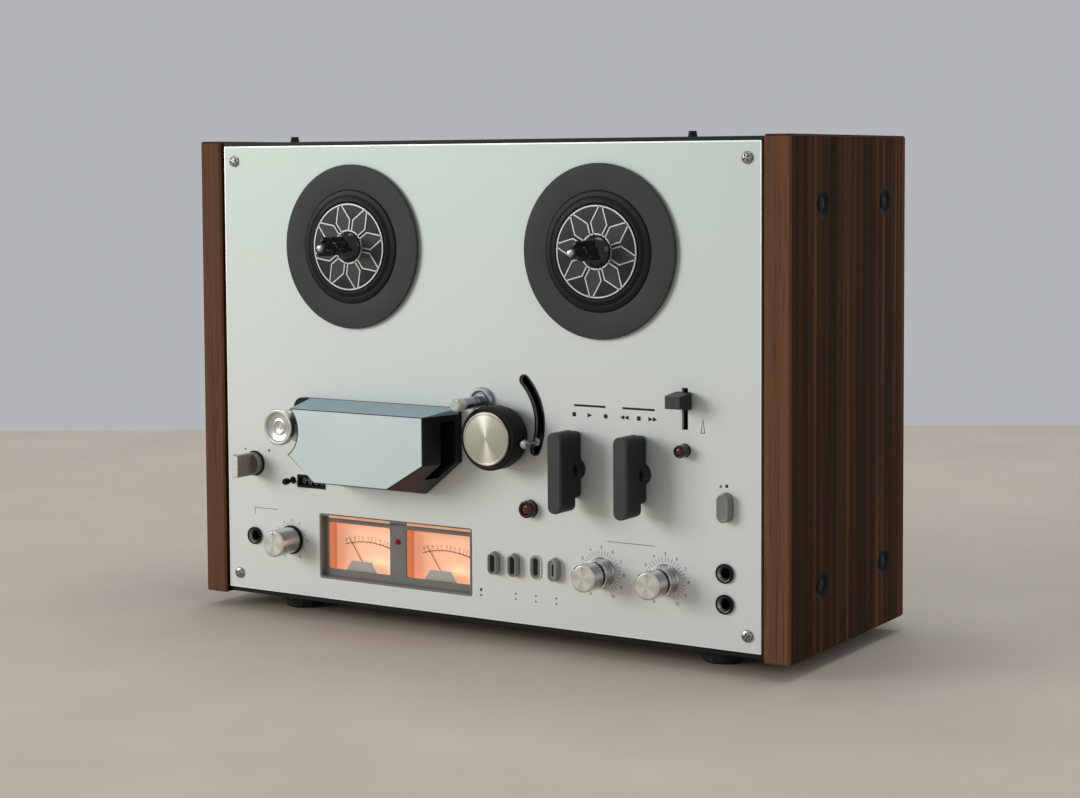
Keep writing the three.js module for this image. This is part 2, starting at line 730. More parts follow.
// Chassis: a tray, open at the back, with bearing bosses and the motor's posts on its plate
const motorFront = PLATE_BACK - FLYWHEEL_SETBACK - FLYWHEEL_THICKNESS - FIT;
const beltAngle = Math.atan2(CAPSTAN_Y - MOTOR_Y, CAPSTAN_X - MOTOR_X);
const beltSpan = Math.hypot(CAPSTAN_Y - MOTOR_Y, CAPSTAN_X - MOTOR_X);

function chassis() {
  const half = INNER_WIDTH / 2;
  const wall = CHASSIS_WALL;
  const box = block(-half, half, CHASSIS_BOTTOM, CHASSIS_TOP, CHASSIS_BACK, PLATE_FRONT);
  const room = block(wall - half, half - wall, CHASSIS_BOTTOM + wall, CHASSIS_TOP - wall,
    CHASSIS_BACK - OVERRUN, PLATE_BACK);
  const posts = MOTOR_POST_TURNS.map((angle) => {
    const turn = beltAngle + degrees(angle);
    const reach = MOTOR_RADIUS - MOTOR_POST_INSET;
    const x = MOTOR_X + reach * Math.cos(turn);
    const y = MOTOR_Y + reach * Math.sin(turn);
    return rod(MOTOR_POST_RADIUS, motorFront + FIT, PLATE_BACK + CHASSIS_PLATE / 2, SMALL, x, y);
  });
  const pinHole = roundHole(TENSION_PIN_RADIUS, TENSION_X, TENSION_Y, SMALL);
  const counter = counterOpening(2 * counterRoom);
  return joined(cut(cut(box, room), ...panelOpenings(), pinHole, counter), ...posts);
}

piece('chassis', chassis(), blackSteel);

// Back cover: a lid with rounded edges, vents, sockets, a mains inlet and four feet to lie on
function backCover() {
  const lidBack = CHASSIS_BACK - FIT - BACK_DEPTH;
  const lidFront = CHASSIS_BACK - FIT;
  const width = INNER_WIDTH - 2 * BACK_MARGIN;
  const height = CHASSIS_HEIGHT - 2 * BACK_MARGIN;
  const middle = CHASSIS_BOTTOM + CHASSIS_HEIGHT / 2;
  const shell = extruded(rectangle(width, height, BACK_ROUNDING), lidBack, lidFront, 0, middle);
  const inside = rectangle(width - 2 * BACK_WALL, height - 2 * BACK_WALL, BACK_ROUNDING - BACK_WALL);
  const room = extruded(inside, lidBack + BACK_WALL, lidFront + OVERRUN, 0, middle);
  const vents = Array.from({ length: VENT_COUNT }, (_, index) => {
    const x = (index - (VENT_COUNT - 1) / 2) * VENT_PITCH;
    const slit = rectangle(VENT_WIDTH, VENT_LENGTH, VENT_WIDTH / 2);
    return extruded(slit, lidBack - OVERRUN, lidBack + BACK_WALL + OVERRUN, x, VENT_LEVEL, 1);
  });
  const feet = [];
  for (const x of [-1, 1]) {
    for (const y of [-1, 1]) {
      const footX = x * (width / 2 - REAR_FOOT_INSET);
      const footY = middle + y * (height / 2 - REAR_FOOT_INSET);
      feet.push(rod(REAR_FOOT_RADIUS, REAR, lidBack + BACK_WALL / 2, SMALL, footX, footY));
    }
  }
  const sockets = Array.from({ length: REAR_SOCKET_COUNT }, (_, index) => {
    const x = CABINET_WIDTH / 2 - REAR_SOCKET_INSET + (index % 2) * REAR_SOCKET_PITCH;
    const y = REAR_SOCKET_LEVEL + Math.floor(index / 2) * REAR_SOCKET_PITCH;
    return [x, y];
  });
  const barrels = sockets.map(([x, y]) => rod(REAR_SOCKET_RADIUS, lidBack - REAR_SOCKET_LENGTH,
    lidBack + BACK_WALL / 2, SMALL, x, y));
  const bores = sockets.map(([x, y]) => rod(REAR_SOCKET_BORE, lidBack - REAR_SOCKET_LENGTH - OVERRUN,
    lidBack - BACK_WALL / 2, SMALL, x, y));
  const well = INLET_DEPTH + BACK_WALL;
  const inletX = INLET_INSET - CABINET_WIDTH / 2;
  const inletY = REAR_SOCKET_LEVEL + REAR_SOCKET_PITCH / 2;
  const inletBox = block(inletX - INLET_WIDTH / 2 - INLET_RIM, inletX + INLET_WIDTH / 2 + INLET_RIM,
    inletY - INLET_HEIGHT / 2 - INLET_RIM, inletY + INLET_HEIGHT / 2 + INLET_RIM,
    lidBack + BACK_WALL / 2, lidBack + well);
  const inlet = extruded(rectangle(INLET_WIDTH, INLET_HEIGHT, INLET_RIM), lidBack - OVERRUN,
    lidBack + INLET_DEPTH, inletX, inletY, 2);
  const walls = joined(cut(shell, room), ...feet, ...barrels, inletBox);
  return cut(walls, ...vents, ...bores, inlet);
}

piece('back_cover', backCover(), blackPlastic);

// Reel tables
const ringFront = PLATTER_LIFT + PLATTER_THICKNESS + RING_HEIGHT;
const hubFront = HUB_HEIGHT;
const spindleBack = hubFront + DOME_HEIGHT;
const spindleFront = spindleBack + SPINDLE_LENGTH;

// Three fins round a core, the outline shared by the spindle and its lock cap
function finnedOutline() {
  const bars = [];
  for (let fin = 0; fin < FIN_COUNT; fin += 1) {
    const angle = Math.PI / 2 + (fin * 2 * Math.PI) / FIN_COUNT;
    const spread = Math.asin(FIN_WIDTH / 2 / SPINDLE_RADIUS);
    const next = angle + (2 * Math.PI) / FIN_COUNT;
    const side = new THREE.Vector2(-Math.sin(angle), Math.cos(angle)).multiplyScalar(FIN_WIDTH / 2);
    const tip = new THREE.Vector2(Math.cos(angle), Math.sin(angle)).multiplyScalar(FIN_RADIUS);
    bars.push(tip.clone().sub(side), tip.clone().add(side));
    const middle = (angle + next) / 2;
    for (const turn of [angle + spread, middle, next - spread]) {
      bars.push(new THREE.Vector2(Math.cos(turn), Math.sin(turn)).multiplyScalar(SPINDLE_RADIUS));
    }
  }
  return new THREE.Shape(bars);
}

function platter() {
  const edge = PLATTER_ROUNDING;
  const back = PLATTER_LIFT;
  const face = back + PLATTER_THICKNESS;
  const disc = turned([
    [0, back - REEL_SHAFT_LENGTH],
    [REEL_SHAFT_RADIUS, back - REEL_SHAFT_LENGTH],
    [REEL_SHAFT_RADIUS, back],
    [PLATTER_RADIUS - edge, back],
    [PLATTER_RADIUS, back + edge],
    [PLATTER_RADIUS, face - edge],
    [PLATTER_RADIUS - edge, face],
    [RING_RADIUS, face],
    [RING_RADIUS, face + RING_HEIGHT / 2],
    [RING_RADIUS - RING_STEP, face + RING_HEIGHT / 2],
    [RING_RADIUS - RING_STEP, ringFront],
    [HUB_RADIUS, ringFront],
    [HUB_RADIUS, hubFront],
    [DOME_RADIUS, hubFront],
    [SPINDLE_RADIUS, spindleBack],
    [0, spindleBack],
  ], FINE);
  const spindle = extruded(finnedOutline(), hubFront, spindleFront);
  const bore = rod(PIN_RADIUS + FIT, spindleFront - PIN_DEPTH - FIT, spindleFront + OVERRUN, SMALL);
  return cut(joined(disc, spindle), bore);
}

// One petal of the rosette: open at the hub, widest at its shoulders, pointed at the rim
function petal(start, grow) {
  const edge = Math.PI / ROSETTE_PETALS;
  const inset = ROSETTE_GAP / 2 - grow;
  const shoulder = ROSETTE_RADIUS * ROSETTE_SHOULDER_SHARE + grow;
  const tip = ROSETTE_RADIUS - 1.5 * ROSETTE_LINE + 2 * grow;
  const along = (radius, side) => [
    radius * Math.cos(edge) + inset * Math.sin(edge),
    side * (radius * Math.sin(edge) - inset * Math.cos(edge)),
  ];
  return polygon([along(start, -1), along(shoulder, -1), [tip, 0], along(shoulder, 1), along(start, 1)]);
}

function rosette() {
  const back = ringFront + FIT;
  const face = back + ROSETTE_THICKNESS;
  const front = face + ROSETTE_RELIEF;
  const inner = HUB_RADIUS + FIT;
  const line = ROSETTE_LINE;
  const start = inner / Math.cos(Math.PI / ROSETTE_PETALS);
  const dish = turned([
    [inner, back],
    [ROSETTE_RADIUS, back],
    [ROSETTE_RADIUS, front],
    [ROSETTE_RADIUS - line, front],
    [ROSETTE_RADIUS - line, face],
    [inner, face],
    [inner, back],
  ], FINE);
  const petals = [];
  for (let index = 0; index < ROSETTE_PETALS; index += 1) {
    const turn = (index * 2 * Math.PI) / ROSETTE_PETALS;
    const outside = extruded(petal(start, line / 2), (back + face) / 2, front).rotateZ(turn);
    const inside = extruded(petal(start - OVERRUN, -line / 2), face, front + OVERRUN).rotateZ(turn);
    petals.push(cut(outside, inside));
  }
  return joined(dish, ...petals);
}

// The lock cap turns on the pin, which pulls out of the spindle against its spring
function lockCap() {
  const back = spindleFront + FIT;
  const front = back + LOCK_CAP_LENGTH;
  const body = extruded(finnedOutline(), back, front);
  const cone = turned([
    [0, back],
    [FIN_RADIUS, back],
    [FIN_RADIUS, front - LOCK_CAP_TAPER],
    [PIN_HEAD_RADIUS, front],
    [0, front],
  ], COARSE);
  const bore = rod(PIN_RADIUS + FIT, back - OVERRUN, front + OVERRUN, SMALL);
  return cut(shared(body, cone), bore);
}

function spindlePin() {
  const collar = SPINDLE_TIP - PIN_HEAD_HEIGHT;
  return turned([
    [0, spindleFront - PIN_DEPTH],
    [PIN_RADIUS, spindleFront - PIN_DEPTH],
    [PIN_RADIUS, collar],
    [PIN_HEAD_RADIUS, collar],
    [PIN_HEAD_RADIUS, (collar + SPINDLE_TIP) / 2],
    [PIN_RADIUS / 2, SPINDLE_TIP],
    [0, SPINDLE_TIP],
  ], SMALL);
}

for (const [side, sign] of [['left', -1], ['right', 1]]) {
  const x = sign * REEL_SPACING / 2;
  piece(`reel_platter_${side}`, platter(), platterGrey, x, REEL_LEVEL);
  piece(`rosette_${side}`, rosette(), brightMetal, x, REEL_LEVEL);
  piece(`lock_cap_${side}`, lockCap(), glossBlack, x, REEL_LEVEL);
  piece(`spindle_pin_${side}`, spindlePin(), steel, x, REEL_LEVEL);
}

// Guide roller with its polished, dished cap
function guideRoller() {
  const cap = ROLLER_CAP_RADIUS;
  const body = ROLLER_BODY_RADIUS;
  const capBack = ROLLER_FRONT - ROLLER_CAP_THICKNESS;
  return turned([
    [0, -PANEL_THICKNESS],
    [ROLLER_SHAFT_RADIUS, -PANEL_THICKNESS],
    [ROLLER_SHAFT_RADIUS, ROLLER_LIFT],
    [body + ROLLER_FLANGE, ROLLER_LIFT],
    [body + ROLLER_FLANGE, ROLLER_LIFT + ROLLER_FLANGE],
    [body, ROLLER_LIFT + 2 * ROLLER_FLANGE],
    [body, capBack - ROLLER_FLANGE],
    [cap, capBack],
    [cap, ROLLER_FRONT - ROLLER_DISH],
    [cap - ROLLER_DISH, ROLLER_FRONT],
    [cap - 2 * ROLLER_DISH, ROLLER_FRONT],
    [cap / 2, ROLLER_FRONT - ROLLER_DISH],
    [0, ROLLER_FRONT - 2 * ROLLER_DISH],
  ], MEDIUM);
}

piece('guide_roller', guideRoller(), brightMetal, ROLLER_X, ROLLER_Y);

// Head cover: a housing that flares towards the panel, with an arc round the guide roller
const ARC_STEPS = 6;

const arcX = ROLLER_X + COVER_ARC_SHIFT;
const coverSide = arcX + COVER_ARC_RADIUS;
const coverCrest = ROLLER_Y + COVER_ARC_RADIUS * COVER_CREST_SHARE;
const coverCusp = ROLLER_Y - COVER_ARC_RADIUS * COVER_CUSP_SHARE;

// The cover's outline, drawn in by a margin and spread by a share of its flare
function coverOutline(margin, flareShare) {
  const right = COVER_RIGHT + COVER_SIDE_FLARE * flareShare - margin;
  const top = coverCrest + COVER_TOP_FLARE * flareShare - margin;
  const bottom = COVER_BOTTOM - COVER_BOTTOM_FLARE * flareShare + margin;
  const leftEdge = ROLLER_X + COVER_LEFT_OFFSET;
  const lowLeft = leftEdge + COVER_LEFT_CHAMFER - (COVER_BOTTOM_FLARE * flareShare) / 2 + margin / 2;
  const lowRight = right - COVER_RIGHT_CHAMFER;
  const rise = coverCusp + margin / 2;
  const reach = COVER_ARC_RADIUS + margin;
  const arcLeft = Math.asin((rise - ROLLER_Y) / reach);
  const arcTop = Math.asin((top - ROLLER_Y) / reach);
  const points = [[lowLeft, bottom], [lowRight, bottom], [right, rise], [right, top]];
  for (let step = 0; step <= ARC_STEPS; step += 1) {
    const angle = arcTop + ((arcLeft - arcTop) * step) / ARC_STEPS;
    points.push([arcX + reach * Math.cos(angle), ROLLER_Y + reach * Math.sin(angle)]);
  }
  return points;
}

// A closed body between two outlines with the same number of points
function lofted(backPoints, frontPoints, back, front) {
  const count = backPoints.length;
  const contour = frontPoints.map(([x, y]) => new THREE.Vector2(x, y));
  const caps = THREE.ShapeUtils.triangulateShape(contour, []);
  const corners = [
    ...backPoints.map(([x, y]) => [x, y, back]),
    ...frontPoints.map(([x, y]) => [x, y, front]),
  ];
  const faces = [];
  for (const [a, b, c] of caps) {
    faces.push([count + a, count + b, count + c], [a, c, b]);
  }
  for (let i = 0; i < count; i += 1) {
    const next = (i + 1) % count;
    faces.push([i, next, count + next], [i, count + next, count + i]);
  }
  const geometry = new THREE.BufferGeometry();
  geometry.setAttribute('position', new THREE.Float32BufferAttribute(corners.flat(), 3));
  geometry.setIndex(faces.flat());
  return geometry;
}

function headCover() {
  const wall = COVER_WALL;
  const inner = COVER_FRONT - wall;
  const outside = lofted(coverOutline(0, 1), coverOutline(0, 0), COVER_BACK, COVER_FRONT);
  const slope = wall / (COVER_FRONT - COVER_BACK);
  const behind = COVER_BACK - OVERRUN;
  const growth = 1 + OVERRUN / (COVER_FRONT - COVER_BACK);
  const inside = lofted(coverOutline(wall, growth), coverOutline(wall, slope), behind, inner);
  const slotBottom = TAPE_SLOT_TOP - TAPE_SLOT_HEIGHT;
  const slotFront = inner - wall;
  const leftSlot = block(coverSide - TAPE_SLOT_LENGTH / 2, coverSide + TAPE_SLOT_LENGTH / 2,
    slotBottom, TAPE_SLOT_TOP, TAPE_SLOT_BACK, slotFront);
  const exitSlot = block(COVER_RIGHT - EXIT_SLOT_REACH, COVER_RIGHT + EXIT_SLOT_REACH,
    EXIT_SLOT_TOP - EXIT_SLOT_HEIGHT, EXIT_SLOT_TOP, EXIT_SLOT_BACK, EXIT_SLOT_FRONT);
  return cut(outside, inside, exitSlot, leftSlot);
}

piece('head_cover', headCover(), blackPlastic);

function coverPlate() {
  const back = COVER_FRONT + FIT;
  const outline = polygon(coverOutline(COVER_PLATE_MARGIN, 0));
  return extruded(outline, back, back + COVER_PLATE_THICKNESS);
}

piece('cover_plate', coverPlate(), brightMetal);

// Head base: a black plate under the cover that also passes behind the guide roller
const headRow = [-1, 0, 1].map((place) => HEAD_ROW_X + HEAD_PITCH * place);
const guidePlaces = [headRow[0] - HEAD_PITCH / 2, headRow[2] + HEAD_PITCH / 2];

function headBase() {
  const back = FIT;
  const front = back + HEAD_BASE_THICKNESS;
  const sheet = extruded(polygon(coverOutline(0, 1)), back, front);
  const top = coverCrest + COVER_TOP_FLARE;
  const bottom = ROLLER_Y + ROLLER_SHAFT_RADIUS + FIT;
  const left = ROLLER_X - ROLLER_SHAFT_RADIUS;
  const ear = rectangle(coverSide - left, top - bottom, (top - bottom) / 2 - FIT);
  const tongue = extruded(ear, back, front, (left + coverSide) / 2, (top + bottom) / 2);
  const guides = guidePlaces.map((x) => turned([
    [0, (back + front) / 2],
    [TAPE_GUIDE_RADIUS, (back + front) / 2],
    [TAPE_GUIDE_RADIUS, TAPE_GUIDE_HEIGHT],
    [TAPE_GUIDE_RADIUS + TAPE_GUIDE_FLANGE, TAPE_GUIDE_HEIGHT],
    [TAPE_GUIDE_RADIUS + TAPE_GUIDE_FLANGE, TAPE_GUIDE_HEIGHT + TAPE_GUIDE_FLANGE],
    [0, TAPE_GUIDE_HEIGHT + TAPE_GUIDE_FLANGE],
  ], SMALL, x, HEAD_ROW_Y - HEAD_DEPTH / 2 + TAPE_GUIDE_RADIUS));
  return joined(sheet, tongue, ...guides);
}

piece('head_base', headBase(), blackSteel);

// Three heads in a row, each a can whose round nose meets the tape
function head() {
  const half = HEAD_WIDTH / 2;
  const shape = new THREE.Shape();
  shape.moveTo(half, HEAD_DEPTH / 2);
  shape.lineTo(-half, HEAD_DEPTH / 2);
  shape.lineTo(-half, 0);
  shape.absarc(0, HEAD_NOSE_RADIUS - HEAD_DEPTH / 2, HEAD_NOSE_RADIUS, Math.PI, 2 * Math.PI, false);
  shape.lineTo(half, 0);
  const back = 2 * FIT + HEAD_BASE_THICKNESS;
  return extruded(shape, back, back + HEAD_HEIGHT);
}

['head_erase', 'head_record', 'head_play'].forEach((name, place) => {
  piece(name, head(), steel, headRow[place], HEAD_ROW_Y);
});

// Capstan with its sleeve, tip nut and flywheel, and the bearing in the panel
function capstan() {
  const wheelFront = PLATE_BACK - FLYWHEEL_SETBACK;
  const wheelBack = wheelFront - FLYWHEEL_THICKNESS;
  const webBack = wheelFront - FLYWHEEL_WEB;
  const rim = FLYWHEEL_RADIUS - FLYWHEEL_RIM;
  const nutBack = CAPSTAN_FRONT - TIP_NUT_LENGTH;
  const nutEdge = (TIP_NUT_RADIUS - SLEEVE_RADIUS / 2) / 2;
  return turned([
    [0, wheelBack],
    [FLYWHEEL_HUB_RADIUS, wheelBack],
    [FLYWHEEL_HUB_RADIUS, webBack],
    [rim, webBack],
    [rim, wheelBack],
    [FLYWHEEL_RADIUS, wheelBack],
    [FLYWHEEL_RADIUS, wheelFront],
    [SLEEVE_RADIUS, wheelFront],
    [SLEEVE_RADIUS, nutBack],
    [TIP_NUT_RADIUS, nutBack],
    [TIP_NUT_RADIUS, CAPSTAN_FRONT - nutEdge],
    [TIP_NUT_RADIUS - nutEdge, CAPSTAN_FRONT],
    [0, CAPSTAN_FRONT],
  ], MEDIUM);
}

piece('capstan_flywheel', capstan(), steel, CAPSTAN_X, CAPSTAN_Y);

function capstanBearing() {
  const bore = SLEEVE_RADIUS + FIT;
  return turned([
    [bore, PLATE_BACK],
    [BEARING_RADIUS, PLATE_BACK],
    [BEARING_RADIUS, FIT],
    [BEARING_RADIUS + BEARING_LIP, FIT],
    [BEARING_RADIUS + BEARING_LIP, FIT + BEARING_DISH],
    [BEARING_RADIUS, FIT + 2 * BEARING_DISH],
    [BEARING_BUSH_RADIUS, FIT + BEARING_DISH],
    [BEARING_BUSH_RADIUS, BEARING_BUSH_LENGTH],
    [bore, BEARING_BUSH_LENGTH],
    [bore, PLATE_BACK],
  ], COARSE);
}

piece('capstan_bearing', capstanBearing(), steel, CAPSTAN_X, CAPSTAN_Y);

// Pinch roller, its cap, and the arm that swings it on to the capstan
function pinchRoller() {
  const middle = (PINCH_BACK + PINCH_FRONT) / 2;
  const face = PINCH_FRONT - PINCH_CAP_THICKNESS - FIT;
  const bore = PINCH_AXLE_RADIUS + FIT;
  const body = turned([
    [0, PINCH_BACK],
    [PINCH_RADIUS - PINCH_RIDGE, PINCH_BACK],
    [PINCH_RADIUS - PINCH_RIDGE, middle - PINCH_RIDGE],
    [PINCH_RADIUS, middle],
    [PINCH_RADIUS, face - PINCH_RIDGE],
    [PINCH_RADIUS - PINCH_RIDGE, face],
    [0, face],
  ], FINE);
  return cut(body, rod(bore, PINCH_BACK - OVERRUN, face - PINCH_CAP_THICKNESS, SMALL));
}

function pinchCap() {
  const back = PINCH_FRONT - PINCH_CAP_THICKNESS;
  const edge = PINCH_CAP_DISH;
  return turned([
    [0, back],
    [PINCH_CAP_RADIUS, back],
    [PINCH_CAP_RADIUS, PINCH_FRONT - edge],
    [PINCH_CAP_RADIUS - edge, PINCH_FRONT],
    [PINCH_CAP_RADIUS - 2 * edge, PINCH_FRONT - edge / 2],
    [0, PINCH_FRONT - edge],
  ], FINE);
}

function pinchArm() {
  const back = FIT;
  const front = back + PINCH_ARM_THICKNESS;
  const length = PINCH_ARM_LENGTH + PINCH_ARM_WIDTH;
  const bar = rectangle(length, PINCH_ARM_WIDTH, PINCH_ARM_WIDTH / 2);
  const turn = degrees(PINCH_BEARING + 90);
  const beam = extruded(bar, back, front, PINCH_ARM_LENGTH / 2, 0).rotateZ(turn);
  const axleFront = PINCH_FRONT - 2 * PINCH_CAP_THICKNESS - 2 * FIT;
  const axleX = PINCH_ARM_LENGTH * Math.cos(turn);
  const axleY = PINCH_ARM_LENGTH * Math.sin(turn);
  const axle = rod(PINCH_AXLE_RADIUS, (back + front) / 2, axleFront, SMALL, axleX, axleY);
  const pivot = rod(PINCH_PIVOT_RADIUS, PLATE_BACK, (back + front) / 2, SMALL);
  return joined(beam, axle, pivot);
}

piece('pinch_roller', pinchRoller(), darkRubber, pinchX, pinchY);
piece('pinch_cap', pinchCap(), brightMetal, pinchX, pinchY);
piece('pinch_arm', pinchArm(), steel, pivotX, pivotY);

// Tension arm: a bar behind the chassis plate whose post comes out through the curved slot
function tensionArm() {
  const back = BEHIND_PLATE - TENSION_ARM_THICKNESS;
  const middle = (back + BEHIND_PLATE) / 2;
  const bar = rectangle(TENSION_RADIUS + TENSION_ARM_WIDTH, TENSION_ARM_WIDTH, TENSION_ARM_WIDTH / 2);
  const beam = extruded(bar, back, BEHIND_PLATE, TENSION_RADIUS / 2, 0);
  const hub = rod(TENSION_HUB_RADIUS, back - TENSION_ARM_THICKNESS, middle, COARSE);
  const pin = rod(TENSION_PIN_RADIUS, middle, PLATE_FRONT - FIT, SMALL);
  const ball = TENSION_BALL_RADIUS;
  const post = turned([
    [0, middle],
    [TENSION_STEM_RADIUS, middle],
    [TENSION_STEM_RADIUS, TENSION_POST_FRONT - 2 * ball],
    [ball, TENSION_POST_FRONT - 1.5 * ball],
    [ball, TENSION_POST_FRONT - ball / 2],
    [ball / 2, TENSION_POST_FRONT],
    [0, TENSION_POST_FRONT],
  ], SMALL, TENSION_RADIUS, 0);
  return joined(beam, hub, pin, post);
}

const tension = piece('tension_arm', tensionArm(), steel, TENSION_X, TENSION_Y);
tension.rotation.z = degrees(TENSION_REST);

// A lever: a deep paddle with rounded ends, a keel set higher behind it, a hub and a shaft
function lever() {
  const back = LEVER_FRONT - LEVER_THICKNESS;
  const bar = rounded(rectangle(LEVER_WIDTH, LEVER_LENGTH, LEVER_ROUNDING), back, LEVER_FRONT, KNOB_CHAMFER);
  const keelWidth = LEVER_WIDTH - 2 * LEVER_KEEL_INSET;
  const keelShape = rectangle(keelWidth, LEVER_KEEL_LENGTH, LEVER_ROUNDING - LEVER_KEEL_INSET);
  const keel = extruded(keelShape, LEVER_KEEL_LIFT, back + KNOB_CHAMFER, 0, LEVER_KEEL_RISE);
  const hub = turned([
    [0, PLATE_BACK - SHAFT_DEPTH],
    [LEVER_SHAFT_RADIUS, PLATE_BACK - SHAFT_DEPTH],
    [LEVER_SHAFT_RADIUS, FIT],
    [LEVER_HUB_RADIUS, FIT],
    [LEVER_HUB_RADIUS - KNOB_CHAMFER, back + KNOB_CHAMFER],
    [0, back + KNOB_CHAMFER],
  ], COARSE);
  return joined(bar, keel, hub);
}

piece('function_lever', lever(), paddleGrey, LEVER_LEFT_X, LEVER_Y);
piece('winding_lever', lever(), paddleGrey, LEVER_RIGHT_X, LEVER_Y);

// A side profile of points (y, z), extruded evenly to both sides of the middle
function sideways(points, width) {
  const body = new THREE.ExtrudeGeometry(polygon(points), { depth: width, bevelEnabled: false });
  body.translate(0, 0, -width / 2);
  body.applyMatrix4(new THREE.Matrix4().makeBasis(
    new THREE.Vector3(0, 1, 0), new THREE.Vector3(0, 0, 1), new THREE.Vector3(1, 0, 0)));
  return body;
}

// Pause slider: a flared knob on a stem that runs in its slot, with a plate behind
function pauseLever() {
  const stem = PAUSE_STEM_WIDTH / 2;
  const rise = PAUSE_STEM_HEIGHT / 2;
  const plateBack = BEHIND_PLATE - PAUSE_SLIDER_THICKNESS;
  const face = rectangle(PAUSE_KNOB_WIDTH, PAUSE_KNOB_BASE, PAUSE_KNOB_ROUNDING);
  const wedge = sideways([
    [-PAUSE_KNOB_BASE / 2, PAUSE_KNOB_LIFT],
    [PAUSE_KNOB_BASE / 2, PAUSE_KNOB_LIFT],
    [PAUSE_KNOB_HEIGHT / 2, PAUSE_FRONT],
    [-PAUSE_KNOB_HEIGHT / 2, PAUSE_FRONT],
  ], PAUSE_KNOB_WIDTH + 2 * OVERRUN);
  const cap = shared(rounded(face, PAUSE_KNOB_LIFT, PAUSE_FRONT, KNOB_CHAMFER), wedge);
  const bar = block(-stem, stem, -rise, rise, plateBack + FIT, PAUSE_KNOB_LIFT + KNOB_CHAMFER);
  const halfWidth = PAUSE_SLIDER_WIDTH / 2;
  const halfHeight = PAUSE_SLIDER_HEIGHT / 2;
  const plate = block(-halfWidth, halfWidth, -halfHeight, halfHeight, plateBack, BEHIND_PLATE);
  return joined(cap, bar, plate);
}

piece('pause_lever', pauseLever(), paddleGrey, PAUSE_SLOT_X, PAUSE_Y);

// Round buttons with a lens standing in a ring
function roundButton(radius, height) {
  const lens = radius * LENS_SHARE;
  return turned([
    [0, PLATE_BACK - BUTTON_DEPTH],
    [radius, PLATE_BACK - BUTTON_DEPTH],
    [radius, height - BUTTON_LIP],
    [radius - BUTTON_LIP, height],
    [lens, height - BUTTON_LIP],
    [lens, height],
    [lens / 2, height + LENS_HEIGHT],
    [0, height + LENS_HEIGHT],
  ], COARSE);
}

piece('start_button', roundButton(START_RADIUS, START_HEIGHT), redLens, START_X, START_Y);
piece('rec_button', roundButton(REC_RADIUS, REC_HEIGHT), redLens, REC_X, REC_Y);

function powerButton() {
  const shape = rectangle(POWER_WIDTH, POWER_LENGTH, POWER_WIDTH / 2);
  return rounded(shape, PLATE_BACK - BUTTON_DEPTH, POWER_HEIGHT, KNOB_CHAMFER);
}

piece('power_button', powerButton(), buttonGrey, POWER_X, POWER_Y);

function pushButton(height) {
  const shape = rectangle(KEY_WIDTH, KEY_LENGTH, KEY_WIDTH / 2);
  const body = rounded(shape, PLATE_BACK - BUTTON_DEPTH, height, KNOB_CHAMFER);
  const groove = block(-KEY_WIDTH, KEY_WIDTH, -KEY_GROOVE, KEY_GROOVE, height - KEY_GROOVE, height + OVERRUN);
  return cut(body, groove);
}

keyPlaces.forEach((x, index) => {
  const height = index + 1 === KEY_PRESSED ? KEY_PRESSED_HEIGHT : KEY_HEIGHT;
  piece(`push_button_${index + 1}`, pushButton(height), buttonGrey, x, KEY_Y);
});

// Knobs, each turned, with a shaft and a pointer line cut in its face
function knobBody(radius, back, front, shaftRadius) {
  return turned([
    [0, PLATE_BACK - SHAFT_DEPTH],
    [shaftRadius, PLATE_BACK - SHAFT_DEPTH],
    [shaftRadius, back],
    [radius, back],
    [radius, front - KNOB_CHAMFER],
    [radius - KNOB_CHAMFER, front],
    [0, front],
  ], MEDIUM);
}

function pointer(radius, front) {
  const half = KNOB_POINTER_WIDTH / 2;
  return block(-half, half, radius / 2, radius + OVERRUN, front - KNOB_POINTER_DEPTH, front + OVERRUN);
}

function trackSelector() {
  const base = knobBody(SELECTOR_RADIUS, FIT, SELECTOR_BASE, KNOB_SHAFT_RADIUS);
  const bar = rectangle(SELECTOR_BAR_WIDTH, 2 * SELECTOR_RADIUS, SELECTOR_BAR_WIDTH / 4);
  const handle = rounded(bar, SELECTOR_BASE / 2, SELECTOR_FRONT, KNOB_CHAMFER);
  return joined(base, handle);
}

piece('track_selector', trackSelector(), satinSilver, SELECTOR_X, SELECTOR_Y);

function outputKnob() {
  const body = knobBody(OUTPUT_RADIUS, FIT, OUTPUT_FRONT, KNOB_SHAFT_RADIUS);
  const collar = rod(OUTPUT_COLLAR_RADIUS, FIT, OUTPUT_COLLAR_HEIGHT, MEDIUM);
  return cut(joined(body, collar), pointer(OUTPUT_RADIUS, OUTPUT_FRONT));
}

piece('output_knob', outputKnob(), satinSilver, OUTPUT_X, OUTPUT_Y);

// Level controls: a rear ring on a tube round the front knob's shaft
function levelRing() {
  const body = knobBody(LEVEL_REAR_RADIUS, FIT, LEVEL_REAR_HEIGHT, LEVEL_OUTER_SHAFT_RADIUS);
  const flange = rod(LEVEL_FLANGE_RADIUS, FIT, FIT + LEVEL_FLANGE, MEDIUM);
  const bore = rod(LEVEL_INNER_SHAFT_RADIUS + FIT, PLATE_BACK - SHAFT_DEPTH - OVERRUN,
    LEVEL_REAR_HEIGHT + OVERRUN, SMALL);
  return cut(joined(body, flange), bore);
}

